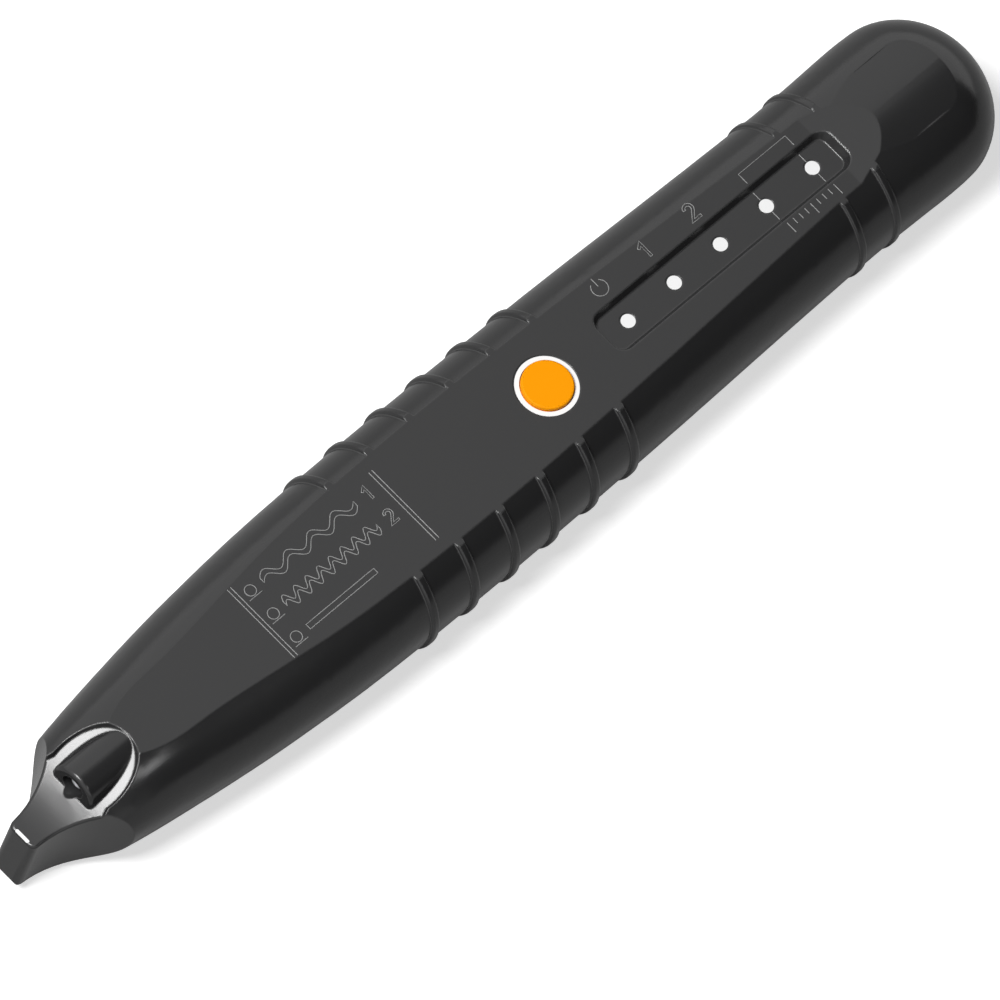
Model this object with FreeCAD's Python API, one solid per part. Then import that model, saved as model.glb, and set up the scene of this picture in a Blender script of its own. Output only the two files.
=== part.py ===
import FreeCAD, Part
import math
import os

from FreeCAD import Matrix, Vector

# Non contact voltage tester, pen shaped, millimetres.
# Stations run along x from the nose tip (0) to the rear end; z is measured from the hull's
# middle plane. place() moves each finished piece into the part frame: origin at the centre of the
# underside, +X towards the rear end, +Z out of the indicator face.

# ---------------------------------------------------------------- overall sizes
body_length = 155.0
body_half_width = 11.9
face_height = 8.5            # from the parting plane to the flat indicator face, and to the flat underside
wall = 1.6
running_gap = 0.1            # between a moving piece and what guides it
rear_cap_depth = 9.8         # how far the rounded rear end reaches along x

# The hull's outline as shares: along the lofted length, of body_half_width, and half heights as shares of
# face_height, above and below the parting plane.
hull_stations = (
    # along, width, top, bottom
    (0.000, 0.44, 0.66, 0.80),
    (0.070, 0.64, 0.88, 0.98),
    (0.110, 0.72, 1.07, 1.08),
    (0.150, 0.79, 1.10, 1.11),
    (0.220, 0.89, 1.13, 1.14),
    (0.330, 0.98, 1.22, 1.22),
    (0.480, 1.00, 1.26, 1.26),
    (0.650, 0.97, 1.23, 1.23),
    (0.800, 0.92, 1.18, 1.18),
    (0.900, 0.895, 1.155, 1.155),
    (0.955, 0.905, 1.20, 1.19),
    (1.000, 0.908, 1.20, 1.20),
)
hull_sections = 24
rear_angles = (12, 24, 36, 48, 60, 71, 81, 88)  # degrees, sections round the rear end
parting_z = -2.0             # the housing halves meet here, below the widest line of the hull
nose_joint_x = 16.0          # the nose ahead of this belongs to the upper housing

# ---------------------------------------------------------------- nose
flank_radius = 12.7          # upright scoops that narrow the nose to a blade, one on each side
flank_centre_x = 1.0
tip_half_width = 2.1
tip_lean = 0.65              # how far the tip's front face leans back over the height below
tip_lean_height = 9.7
tip_foot_z = -6.9
tip_corner_radius = 0.9
tip_foot_radius = 1.1
tip_brow_radius = 0.35
ramp_radius = 44.6           # scoop that ramps from the tip up to the indicator face
ramp_centre_x = -6.0
ramp_centre_z = 46.9
arch_start_x = 9.55          # the ramp ends in an arch: half an ellipse in plan, with leaning walls
arch_length = 6.0
arch_half_width = 4.85
arch_level_z = 6.5           # the arch has its plan sizes at this height
arch_lean = 0.45
arch_flare_x = 7.5           # ahead of here the ramp runs out past the flanks
arch_flare_half_width = 6.0

torch_face_x = 8.15
torch_boss_radius = 3.1
torch_boss_top = 8.35
torch_axis_z = 5.9
torch_edge_radius = 0.5
torch_led_radius = 1.5
torch_led_flange_radius = 1.9
torch_led_flange = 1.0
torch_led_length = 5.4
torch_led_recess = 0.5
torch_led_fit = 0.05

# ---------------------------------------------------------------- indicator face
flat_end_from_rear = 24.6    # where the flat face ends and a low ramp climbs to the crowned rear
crown_half_width = 5.25
crown_height = 9.7
crown_edge_height = 8.9
crown_ramp_length = 6.7

window_centre_from_rear = 42.3
window_length = 38.2
window_half_width = 2.85
window_depth = 0.9
window_slope = 0.5          # how far the window's walls lean in towards its floor
window_corner_radius = 1.6

led_count = 5
led_pitch = 7.56
led_radius = 0.88
led_hole_fit = 0.05
led_base_radius = 1.3
led_stand_proud = 0.05
led_chip_size = (1.6, 0.9, 0.7)
led_chip_gap = 0.05

button_from_rear = 70.9
button_radius = 3.13
button_proud = 0.6
button_travel = 0.4
button_flange_overhang = 0.62
button_flange_thickness = 0.45
button_edge_radius = 0.25
button_stem_radius = 1.1
button_flange_gap = 0.1
bezel_width = 0.57
bezel_depth = 1.0
bezel_proud = 0.05
bezel_fit = 0.04

# ---------------------------------------------------------------- grip ribs
rib_count = 6
rib_pitch = 6.55
last_rib_from_rear = 66.3
rib_width = 1.15
rib_height = 0.42
rear_rib_count = 2
rear_rib_pitch = 5.7
last_rear_rib_from_rear = 22.1
rear_rib_width = 0.95
rear_rib_height = 0.28
rib_edge_share = 0.8         # a rib's edge radius, as a share of its height

# ---------------------------------------------------------------- inside
cavity_start_x = 18.7

board_thickness = 0.8
board_half_width = 6.5
board_nose_half_width = 3.6
board_start_x = 20.4
board_nose_length = 13.0
board_clear_of_cells = 0.45
board_tail = 6.5             # how far the board runs past the last indicator
board_post_radius = 1.3
board_screw_radius = 0.7
board_screw_head_radius = 1.3
board_screw_head_height = 0.6
board_screw_grip = 1.5
board_screw_ahead = 3.0      # from the cells' front bulkhead
board_screw_y = 4.6
board_fit = 0.05

cell_radius = 5.25
cell_length = 44.5
cell_nub_radius = 1.9
cell_nub_length = 0.8
cell_edge_radius = 0.5
cell_door_gap = 0.15
contact_thickness = 0.4
contact_half_width = 4.2
contact_height = 7.0
contact_tab_half_width = 1.0
leaf_length = 3.6            # room for the spring leaf in front of the cells
leaf_half_width = 1.8
leaf_thickness = 0.3
leaf_half_height = 2.6
bay_wall = 1.2
bay_wall_half_width = 5.2
bay_rear_from_rear = 18.2

door_layer = 1.0             # the door's outer layer; the rest of the wall is a plug that fills the opening
door_ear = 7.0               # how far the door runs past the bay at each end
door_half_width = 6.4
door_plug_half_width = 5.45
door_gap = 0.12
door_corner_radius = 2.0
door_screw_from_bay = 3.6
door_screw_radius = 0.9
door_screw_length = 4.2
door_screw_head_radius = 1.8
door_screw_head_height = 0.5
door_screw_sink = 0.05
door_boss_radius = 2.0
door_boss_top = -3.0

screw_radius = 0.95
screw_head_radius = 1.8
screw_head_height = 1.2
screw_seat_z = -5.0
screw_top = 3.0
screw_fit = 0.05
screw_head_fit = 0.2
screw_boss_radius = 2.2
screw_pillar_radius = 3.1
front_screw_x = 29.5
front_screw_y = 6.4
rear_screw_from_rear = 7.3
slot_width = 0.45
slot_depth = 0.35

switch_half_width = 2.4
switch_height = 0.6
switch_bore_radius = 1.27
plunger_radius = 1.2
plunger_stop_gap = 0.05
plunger_height = 0.5

sensor_start_x = 3.0
sensor_end_x = 19.6
sensor_half_width = 1.2
sensor_thickness = 0.5
sensor_pocket_low = -2.9
sensor_pocket_height = 1.8
sensor_pocket_side = 0.1
sensor_lead_radius = 0.4
sensor_lead_rise_x = 22.4

torch_lead_radius = 0.25
torch_lead_spread = 1.0
torch_lead_landing_x = 22.5

chip_size = (4.9, 3.9, 1.5)
chip_x = (44.0, 54.0)
chip_names = ("detector_chip", "driver_chip")
resistor_size = (2.0, 1.25, 0.5)
resistor_x = (44.0, 48.0, 55.0, 59.0, 63.0)
resistor_y = 4.4
capacitor_size = (2.0, 1.25, 0.9)
capacitor_x = (44.0, 49.5, 59.5)
capacitor_y = -4.4
buzzer_from_button = 11.0
buzzer_radius = 4.4
buzzer_height = 1.7
buzzer_port_radius = 0.8
buzzer_port_depth = 0.5

out = "parts"

# ---------------------------------------------------------------- what follows from the sizes
cap_start_x = body_length - rear_cap_depth
inner_face_z = face_height - wall
window_floor_z = face_height - window_depth
window_centre_x = body_length - window_centre_from_rear
first_led_x = window_centre_x - led_pitch * (led_count - 1) / 2
led_places = [first_led_x + i * led_pitch for i in range(led_count)]
button_x = body_length - button_from_rear
button_flange_radius = button_radius + button_flange_overhang
bezel_radius = button_radius + running_gap + bezel_width
flat_end_x = body_length - flat_end_from_rear
cell_z = cell_radius + cell_door_gap - inner_face_z
board_low_z = cell_z + cell_radius + board_clear_of_cells
board_top_z = board_low_z + board_thickness
board_end_x = led_places[-1] + board_tail
bay_end_x = body_length - bay_rear_from_rear
cell_run = cell_length + cell_nub_length
bay_start_x = bay_end_x - 2 * cell_run - leaf_length - 2 * contact_thickness
rear_screw_x = body_length - rear_screw_from_rear
screw_places = [(front_screw_x, front_screw_y), (front_screw_x, -front_screw_y), (rear_screw_x, 0.0)]
door_screw_places = [bay_start_x - door_screw_from_bay, bay_end_x + door_screw_from_bay]
board_screw_x = bay_start_x - bay_wall - board_screw_ahead
torch_boss_z = torch_boss_top - torch_boss_radius
torch_back_x = torch_face_x + torch_led_recess + torch_led_length
plunger_top_z = board_top_z + plunger_stop_gap + button_travel + plunger_height
button_flange_top_z = inner_face_z - button_flange_gap
big = 4 * body_length        # a size that reaches past everything
X = Vector(1, 0, 0)
Y = Vector(0, 1, 0)
Z = Vector(0, 0, 1)


# ---------------------------------------------------------------- plain shapes
def box(x0, x1, y0, y1, z0, z1):
    return Part.makeBox(x1 - x0, y1 - y0, z1 - z0, Vector(x0, y0, z0))


def tall(radius, z0, z1, x=0.0, y=0.0):
    """An upright cylinder."""
    return Part.makeCylinder(radius, z1 - z0, Vector(x, y, z0), Z)


def along(radius, x0, x1, y=0.0, z=0.0):
    """A cylinder that lies along x."""
    return Part.makeCylinder(radius, x1 - x0, Vector(x0, y, z), X)


def mirrored(shape):
    """The same piece on the other side of the centre plane."""
    return shape.mirror(Vector(0, 0, 0), Y)


def rounded_plate(x0, x1, half_width, radius, z0, z1):
    """An upright prism whose plan is a rectangle with round corners."""
    plate = box(x0, x1, -half_width, half_width, z0, z1)
    upright = [e for e in plate.Edges if e.BoundBox.ZLength > (z1 - z0) / 2]
    return plate.makeFillet(radius, upright)


def tube_along(points, radius):
    """A round wire along straight runs joined by tangent arcs."""
    edges = []
    start = points[0]
    for before, corner, after in zip(points, points[1:], points[2:]):
        back = (before - corner).normalize()
        on = (after - corner).normalize()
        turn = math.pi - back.getAngle(on)
        run = min((before - corner).Length, (after - corner).Length)
        setback = 0.45 * run
        bend = setback / math.tan(turn / 2)
        first = corner + back * setback
        last = corner + on * setback
        bisector = (back + on).normalize()
        centre = corner + bisector * math.hypot(setback, bend)
        middle = centre - bisector * bend
        edges.append(Part.LineSegment(start, first).toShape())
        edges.append(Part.Arc(first, middle, last).toShape())
        start = last
    edges.append(Part.LineSegment(start, points[-1]).toShape())
    path = Part.Wire(edges)
    ring = Part.Wire([Part.Circle(points[0], points[1] - points[0], radius).toShape()])
    return path.makePipeShell([ring], True, True)


# ---------------------------------------------------------------- the hull
def hull_at(x):
    """Half width and both half heights of the hull at a station, by cubic runs through hull_stations."""
    share = min(max(x / cap_start_x, 0.0), 1.0)
    rows = hull_stations
    last = len(rows) - 1
    i = max(k for k in range(last) if rows[k][0] <= share)
    here, there = rows[i], rows[i + 1]
    span = there[0] - here[0]
    t = (share - here[0]) / span

    def slope(k, column):
        if k in (0, last):
            return 0.0 if k == last else (rows[1][column] - rows[0][column]) / rows[1][0]
        return (rows[k + 1][column] - rows[k - 1][column]) / (rows[k + 1][0] - rows[k - 1][0])

    def value(column):
        h00 = (1 + 2 * t) * (1 - t) ** 2
        h10 = t * (1 - t) ** 2
        h01 = t * t * (3 - 2 * t)
        h11 = t * t * (t - 1)
        ends = h00 * here[column] + h01 * there[column]
        return ends + span * (h10 * slope(i, column) + h11 * slope(i + 1, column))

    return value(1) * body_half_width, value(2) * face_height, value(3) * face_height


def half_ring(x, half_width, height, upper):
    """Half an ellipse across the body, from the +y side over the top, or under it, to the -y side."""
    middle = Vector(0, 0, 1 if upper else -1)
    arc = Part.Arc(Vector(0, 1, 0), middle, Vector(0, -1, 0)).toShape()
    scale = Matrix(1, 0, 0, x, 0, half_width, 0, 0, 0, 0, height, 0, 0, 0, 0, 1)
    return arc.transformGeometry(scale)


def hull_section(x, inset):
    half_width, top, bottom = hull_at(x)
    upper = half_ring(x, half_width - inset, top - inset, True)
    lower = half_ring(x, half_width - inset, bottom - inset, False)
    return Part.Wire([upper, lower])


def rear_section(angle, inset):
    """A section of the rounded rear end, which is an ellipse in plan and from the side."""
    half_width, top, bottom = hull_at(cap_start_x)
    x = cap_start_x + (rear_cap_depth - inset) * math.sin(angle)
    share = math.cos(angle)
    upper = half_ring(x, (half_width - inset) * share, (top - inset) * share, True)
    lower = half_ring(x, (half_width - inset) * share, (bottom - inset) * share, False)
    return Part.Wire([upper, lower])


def hull(inset, start=0.0):
    """The hull's solid, moved inward by inset."""
    gap = (cap_start_x - start) / (hull_sections - 1)
    sections = [hull_section(start + gap * i, inset) for i in range(hull_sections)]
    sections += [rear_section(math.radians(a), inset) for a in rear_angles]
    return Part.makeLoft(sections, True, False)


def above_face(inset):
    """All that lies above the flat face, the low ramp behind it and the crowned rear."""
    top = face_height - inset
    rise = (crown_height - face_height) / crown_ramp_length
    far = flat_end_x + (2 * face_height) / rise
    outline = [
        Vector(-big, 0, top),
        Vector(flat_end_x, 0, top),
        Vector(far, 0, top + 2 * face_height),
        Vector(far, 0, big),
        Vector(-big, 0, big),
        Vector(-big, 0, top),
    ]
    side = Part.Face(Part.makePolygon(outline))
    prism = side.extrude(Vector(0, 2 * body_half_width, 0))
    prism.translate(Vector(0, -body_half_width, 0))
    sag = crown_height - crown_edge_height
    crown_radius = (crown_half_width ** 2 + sag ** 2) / (2 * sag)
    crown = along(crown_radius, flat_end_x - 1, body_length + 1, z=crown_height - inset - crown_radius)
    low, high = crown_edge_height - inset - 1, 2 * face_height
    over_crown = box(flat_end_x, body_length, -crown_half_width, crown_half_width, low, high)
    return prism.fuse(over_crown.cut(crown))


def below_face(inset):
    return box(-big, big, -big, big, -big, inset - face_height)


def flank_scoops():
    """The upright cylinders that narrow the nose."""
    centre_y = tip_half_width + flank_radius
    one = tall(flank_radius, -3 * face_height, 3 * face_height, flank_centre_x, centre_y)
    return one.fuse(mirrored(one))


def arch_outline(z):
    """Plan outline of the ramp at a height: open ahead, closed behind by half an ellipse."""
    grow = (z - arch_level_z) * arch_lean
    half_width = arch_half_width + grow
    flare = arch_flare_half_width + grow
    bow = Part.Arc(Vector(0, -1, 0), Vector(1, 0, 0), Vector(0, 1, 0)).toShape()
    reach = arch_length + grow
    scale = Matrix(reach, 0, 0, arch_start_x, 0, half_width, 0, 0, 0, 0, 1, z, 0, 0, 0, 1)
    bow = bow.transformGeometry(scale)
    ahead = -body_half_width
    sides = Part.makePolygon([
        Vector(arch_start_x, half_width, z), Vector(arch_flare_x, flare, z), Vector(ahead, flare, z),
        Vector(ahead, -flare, z), Vector(arch_flare_x, -flare, z), Vector(arch_start_x, -half_width, z)])
    return Part.Wire([bow] + sides.Edges)


def ramp_scoop():
    """What the ramp takes off the nose."""
    base = Vector(ramp_centre_x, -2 * body_half_width, ramp_centre_z)
    roller = Part.makeCylinder(ramp_radius, 4 * body_half_width, base, Y)
    return roller.common(Part.makeLoft([arch_outline(0.0), arch_outline(2 * face_height)], True, True))


def tip_foot_corner():
    """What rounding takes off the tip's lower front corner."""
    radius = tip_foot_radius
    low = -hull_at(0.0)[2]
    corner = box(-radius, radius, -body_half_width, body_half_width, low - radius, low + radius)
    base = Vector(radius, -2 * body_half_width, low + radius)
    roller = Part.makeCylinder(radius, 4 * body_half_width, base, Y)
    return corner.cut(roller)


def ahead_of_tip():
    """All that lies ahead of the tip's leaning front face."""
    rate = tip_lean / tip_lean_height
    low, high = -2 * face_height, 2 * face_height
    side = Part.makePolygon([
        Vector(-body_half_width, 0, low), Vector((low - tip_foot_z) * rate, 0, low),
        Vector((high - tip_foot_z) * rate, 0, high), Vector(-body_half_width, 0, high),
        Vector(-body_half_width, 0, low)])
    prism = Part.Face(side).extrude(Vector(0, 2 * body_half_width, 0))
    prism.translate(Vector(0, -body_half_width, 0))
    return prism


def rib(x, width, height):
    """A round-edged hoop that follows the hull in one upright plane."""
    stations = (x - width / 2, x, x + width / 2)
    hoop = Part.makeLoft([hull_section(at, -height) for at in stations], True, False)
    rims = [e for e in hoop.Edges if e.BoundBox.XLength < width / 4]
    return hoop.makeFillet(rib_edge_share * height, rims)


def grip_ribs():
    rows = (
        (rib_count, rib_pitch, last_rib_from_rear, rib_width, rib_height),
        (rear_rib_count, rear_rib_pitch, last_rear_rib_from_rear, rear_rib_width, rear_rib_height),
    )
    ribs = []
    for count, pitch, from_rear, width, height in rows:
        ribs += [rib(body_length - from_rear - i * pitch, width, height) for i in range(count)]
    return ribs


def torch_boss():
    """The barrel that stands out of the ramp and holds the torch LED."""
    boss = along(torch_boss_radius, torch_face_x, cavity_start_x, z=torch_boss_z)
    front = [e for e in boss.Edges if e.BoundBox.XMax < torch_face_x + 0.01]
    return boss.makeFillet(torch_edge_radius, front)


def outer_body():
    """The whole outside of the housing as one solid, with its nose, torch boss and ribs."""
    body = hull(0.0).multiFuse(grip_ribs())
    body = body.cut(above_face(0.0)).cut(below_face(0.0)).cut(flank_scoops()).cut(ahead_of_tip())
    at_tip = [e for e in body.Edges if e.BoundBox.XMax < tip_corner_radius]
    front = [e for e in at_tip if e.BoundBox.ZLength > face_height / 2]
    body = body.makeFillet(tip_corner_radius, front)
    body = body.cut(tip_foot_corner()).cut(ramp_scoop())
    brow = [e for e in body.Edges if is_brow(e)]
    body = body.makeFillet(tip_brow_radius, brow)
    return body.fuse(torch_boss()).Solids[0]


def is_brow(edge):
    """Whether an edge runs across the tip where its front face meets the ramp."""
    box_of = edge.BoundBox
    across = box_of.YLength > tip_half_width and abs(edge.CenterOfMass.y) < 0.1
    return across and box_of.XMax < tip_corner_radius and box_of.ZMin > 0


def rounded_wire(half_length, half_width, radius, z):
    """A rectangle with round corners, about the window's centre."""
    a = half_length - radius
    b = half_width - radius
    side = radius / math.sqrt(2)
    edges = []
    for sx, sy, turned in ((1, 1, False), (-1, 1, True), (-1, -1, False), (1, -1, True)):
        on_side = Vector(sx * half_length, sy * b, z)
        on_end = Vector(sx * a, sy * half_width, z)
        middle = Vector(sx * (a + side), sy * (b + side), z)
        first, last = (on_end, on_side) if turned else (on_side, on_end)
        edges.append(Part.Arc(first, middle, last).toShape())
    joined = []
    for i, arc in enumerate(edges):
        joined.append(arc)
        start = arc.Vertexes[-1].Point
        joined.append(Part.LineSegment(start, edges[(i + 1) % 4].Vertexes[0].Point).toShape())
    return Part.Wire(joined)


def window_cut():
    """The shallow indicator window, whose walls lean in towards its floor."""
    length = window_length / 2
    grow = window_slope / window_depth
    rise = crown_height - face_height
    above = grow * rise
    low = rounded_wire(length - window_slope, window_half_width - window_slope,
                       window_corner_radius - window_slope, window_floor_z)
    high = rounded_wire(length + above, window_half_width + above, window_corner_radius + above,
                        face_height + rise)
    cut = Part.makeLoft([low, high], True, True)
    cut.translate(Vector(window_centre_x, 0, 0))
    return cut


# ---------------------------------------------------------------- the housing halves
def cavity():
    """The room inside the housing."""
    return hull(wall, cavity_start_x).cut(above_face(wall)).cut(below_face(wall)).Solids[0]


def board_posts():
    """Stubs under the face that the board lies against."""
    low, high = board_top_z, face_height
    places = [(board_screw_x, board_screw_y), (board_screw_x, -board_screw_y)]
    middle_x = (button_x + led_places[0]) / 2
    places += [(middle_x, board_screw_y), (middle_x, -board_screw_y)]
    end_x = board_end_x - 2 * board_post_radius
    places += [(end_x, board_screw_y), (end_x, -board_screw_y)]
    return [tall(board_post_radius, low, high, x, y) for x, y in places]


def upper_housing(body, room):
    lid = body.cut(box(nose_joint_x, big, -big, big, -big, parting_z))
    pillars = [tall(screw_boss_radius, parting_z, big, x, y) for x, y in screw_places]
    lid = lid.cut(room.cut(Part.makeCompound(pillars + board_posts())))
    lid = lid.cut(window_cut())
    lid = lid.cut(tall(bezel_radius + bezel_fit, face_height - bezel_depth, big, button_x))
    holes = [tall(button_radius + running_gap, 0, big, button_x)]
    holes += [tall(led_radius + led_hole_fit, board_top_z, big, x) for x in led_places]
    holes += [tall(screw_radius + screw_fit, parting_z - 1, screw_top, x, y) for x, y in screw_places]
    grip_top = board_top_z + board_screw_grip
    for side in (-1, 1):
        holes.append(tall(board_screw_radius, board_top_z, grip_top, board_screw_x, side * board_screw_y))
    seat_x = torch_back_x - torch_led_flange
    holes.append(along(torch_led_radius + torch_led_fit, 0, cavity_start_x + 1, z=torch_axis_z))
    holes.append(along(torch_led_flange_radius + torch_led_fit, seat_x, cavity_start_x + 1, z=torch_axis_z))
    side = sensor_half_width + sensor_pocket_side
    slot_top = sensor_pocket_low + sensor_pocket_height
    holes.append(box(sensor_start_x, cavity_start_x + 1, -side, side, sensor_pocket_low, slot_top))
    for hole in holes:
        lid = lid.cut(hole)
    return lid.Solids[0]


def door_opening(clearance):
    """What the battery cover fills: a thin outer layer and the plug that closes the bay."""
    low, step, high = -face_height - 1, -face_height + door_layer, -inner_face_z + 0.5
    start, end = bay_start_x - clearance, bay_end_x + clearance
    outer = rounded_plate(start - door_ear, end + door_ear, door_half_width + clearance,
                          door_corner_radius + clearance, low, step)
    plug = rounded_plate(start, end, door_plug_half_width + clearance, door_gap + clearance, low, high)
    return outer, plug


def lower_housing(body, room):
    tray = body.common(box(nose_joint_x, big, -big, big, -big, parting_z))
    keep = [tall(screw_pillar_radius, -big, 0, x, y) for x, y in screw_places]
    keep += [tall(door_boss_radius, -big, door_boss_top, x) for x in door_screw_places]
    tray = tray.cut(room.cut(Part.makeCompound(keep)))
    width = bay_wall_half_width
    low = -(inner_face_z + wall / 4)
    for x in (bay_start_x - bay_wall, bay_end_x):
        tray = tray.fuse(box(x, x + bay_wall, -width, width, low, board_low_z))
    outer, plug = door_opening(door_gap)
    tray = tray.cut(outer).cut(plug)
    for x, y in screw_places:
        tray = tray.cut(tall(screw_radius + screw_fit, -big, big, x, y))
        tray = tray.cut(tall(screw_head_radius + screw_head_fit, -big, screw_seat_z, x, y))
    for x in door_screw_places:
        tray = tray.cut(tall(door_screw_radius + screw_fit, -big, door_boss_top - 0.4, x))
    side = sensor_half_width + sensor_pocket_side
    slot_top = sensor_pocket_low + sensor_pocket_height
    tray = tray.cut(box(nose_joint_x - 1, cavity_start_x + 1, -side, side, sensor_pocket_low, slot_top))
    return tray.Solids[0]


def battery_cover(body):
    outer, plug = door_opening(0.0)
    plug = plug.cut(box(-big, big, -big, big, -inner_face_z, big))
    cover = body.common(outer).fuse(plug.cut(below_face(door_layer / 2)))
    for x in door_screw_places:
        cover = cover.cut(tall(door_screw_radius + screw_fit, -big, 0, x))
        seat = -face_height + door_screw_head_height + door_screw_sink
        cover = cover.cut(tall(door_screw_head_radius + screw_fit, -big, seat, x))
    return cover.Solids[0]


def screw(radius, head_radius, head_height, seat_z, top_z, x, y):
    """An upright screw, head down, with a cross slot."""
    body = tall(radius, seat_z, top_z, x, y).fuse(tall(head_radius, seat_z - head_height, seat_z, x, y))
    low = seat_z - head_height
    half = slot_width / 2
    reach = 0.7 * head_radius
    body = body.cut(box(x - reach, x + reach, y - half, y + half, low - 1, low + slot_depth))
    return body.cut(box(x - half, x + half, y - reach, y + reach, low - 1, low + slot_depth))


# ---------------------------------------------------------------- button and switch
def button_bezel():
    low, high = face_height - bezel_depth, face_height + bezel_proud
    ring = tall(bezel_radius, low, high, button_x)
    return ring.cut(tall(button_radius + running_gap, low - 1, high + 1, button_x))


def button_cap():
    low = button_flange_top_z - button_flange_thickness
    top = face_height + button_proud
    cap = tall(button_radius, low, top, button_x)
    rim = [e for e in cap.Edges if e.BoundBox.ZMin > top - 0.01]
    cap = cap.makeFillet(button_edge_radius, rim)
    cap = cap.fuse(tall(button_flange_radius, low, button_flange_top_z, button_x))
    return cap.fuse(tall(button_stem_radius, plunger_top_z, button_flange_top_z, button_x))


def switch_body():
    half = switch_half_width
    body = box(button_x - half, button_x + half, -half, half, board_top_z, board_top_z + switch_height)
    return body.cut(tall(switch_bore_radius, board_top_z - 1, board_top_z + 2 * switch_height, button_x))


def switch_plunger():
    return tall(plunger_radius, plunger_top_z - plunger_height, plunger_top_z, button_x)


# ---------------------------------------------------------------- indicators, torch and sensor
def indicator_lens(x):
    """A light pipe: a round window in the face with a wider foot below the wall."""
    pipe = tall(led_radius, inner_face_z, window_floor_z + led_stand_proud, x)
    foot_z = board_top_z + led_chip_size[2] + led_chip_gap
    return pipe.fuse(tall(led_base_radius, foot_z, inner_face_z, x))


def on_board(x, y, size):
    """A block soldered on the board's upper side."""
    length, width, height = size
    start, side = x - length / 2, y - width / 2
    return box(start, start + length, side, side + width, board_top_z, board_top_z + height)


def torch_led():
    """A round LED lying along x, domed in front, with a flange behind."""
    front = torch_face_x + torch_led_recess
    r, flange = torch_led_radius, torch_led_flange_radius
    seat = torch_back_x - torch_led_flange
    arc = Part.Arc(Vector(front, 0, 0), Vector(front + r - r * math.sqrt(0.5), 0, r * math.sqrt(0.5)),
                   Vector(front + r, 0, r)).toShape()
    points = [Vector(front + r, 0, r), Vector(seat, 0, r), Vector(seat, 0, flange),
              Vector(torch_back_x, 0, flange), Vector(torch_back_x, 0, 0), Vector(front, 0, 0)]
    outline = Part.Wire([arc] + Part.makePolygon(points).Edges)
    led = Part.Face(outline).revolve(Vector(0, 0, 0), X, 360)
    led.translate(Vector(0, 0, torch_axis_z))
    return led


def torch_leads():
    leads = []
    for y in (-torch_lead_spread, torch_lead_spread):
        route = [Vector(torch_back_x, y, torch_axis_z), Vector(torch_lead_landing_x, y, torch_axis_z),
                 Vector(torch_lead_landing_x, y, board_top_z)]
        leads.append(tube_along(route, torch_lead_radius))
    return leads


def sensor_antenna():
    low, half = sensor_pocket_low, sensor_half_width
    return box(sensor_start_x, sensor_end_x, -half, half, low, low + sensor_thickness)


def sensor_lead():
    z = sensor_pocket_low + sensor_thickness / 2
    route = [Vector(sensor_end_x, 0, z), Vector(sensor_lead_rise_x, 0, z),
             Vector(sensor_lead_rise_x, 0, board_low_z)]
    return tube_along(route, sensor_lead_radius)


# ---------------------------------------------------------------- board and power
def circuit_board():
    nose_end = board_start_x + board_nose_length
    low, high = board_low_z, board_top_z
    board = box(nose_end, board_end_x, -board_half_width, board_half_width, low, high)
    nose = box(board_start_x, nose_end, -board_nose_half_width, board_nose_half_width, low, high)
    board = board.fuse(nose).removeSplitter()
    for y in (-board_screw_y, board_screw_y):
        board = board.cut(tall(board_screw_radius + board_fit, low - 1, high + 1, board_screw_x, y))
    return board


def battery_cell(start):
    """A cylinder cell lying along x with its nub towards the rear."""
    cell = along(cell_radius, start, start + cell_length, z=cell_z)
    cell = cell.makeFillet(cell_edge_radius, [e for e in cell.Edges if e.Curve.TypeId == "Part::GeomCircle"])
    end = start + cell_length
    return cell.fuse(along(cell_nub_radius, end - 0.1, end + cell_nub_length, z=cell_z))


def contact_plate(x):
    """A plate across the bay's end with a tab up to the board."""
    half, tab = contact_half_width, contact_tab_half_width
    low = cell_z - contact_height / 2
    plate = box(x, x + contact_thickness, -half, half, low, low + contact_height)
    return plate.fuse(box(x, x + contact_thickness, -tab, tab, cell_z, board_low_z)).removeSplitter()


def leaf_contact():
    """The negative contact: a plate and a bowed leaf that presses on the first cell."""
    x = bay_start_x + contact_thickness
    t, h, reach = leaf_thickness, leaf_half_height, leaf_length
    low = cell_z - h
    outline = [Vector(x, 0, low), Vector(x + t, 0, low), Vector(x + reach, 0, cell_z - t),
               Vector(x + reach, 0, cell_z + t), Vector(x + t, 0, cell_z + h), Vector(x, 0, cell_z + h),
               Vector(x, 0, cell_z + h - t), Vector(x + reach - t, 0, cell_z),
               Vector(x, 0, low + t), Vector(x, 0, low)]
    leaf = Part.Face(Part.makePolygon(outline)).extrude(Vector(0, 2 * leaf_half_width, 0))
    leaf.translate(Vector(0, -leaf_half_width, 0))
    return contact_plate(bay_start_x).fuse(leaf)


def buzzer():
    x = button_x - buzzer_from_button
    top = board_top_z + buzzer_height
    case = tall(buzzer_radius, board_top_z, top, x)
    return case.cut(tall(buzzer_port_radius, top - buzzer_port_depth, top + 1, x))


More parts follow.
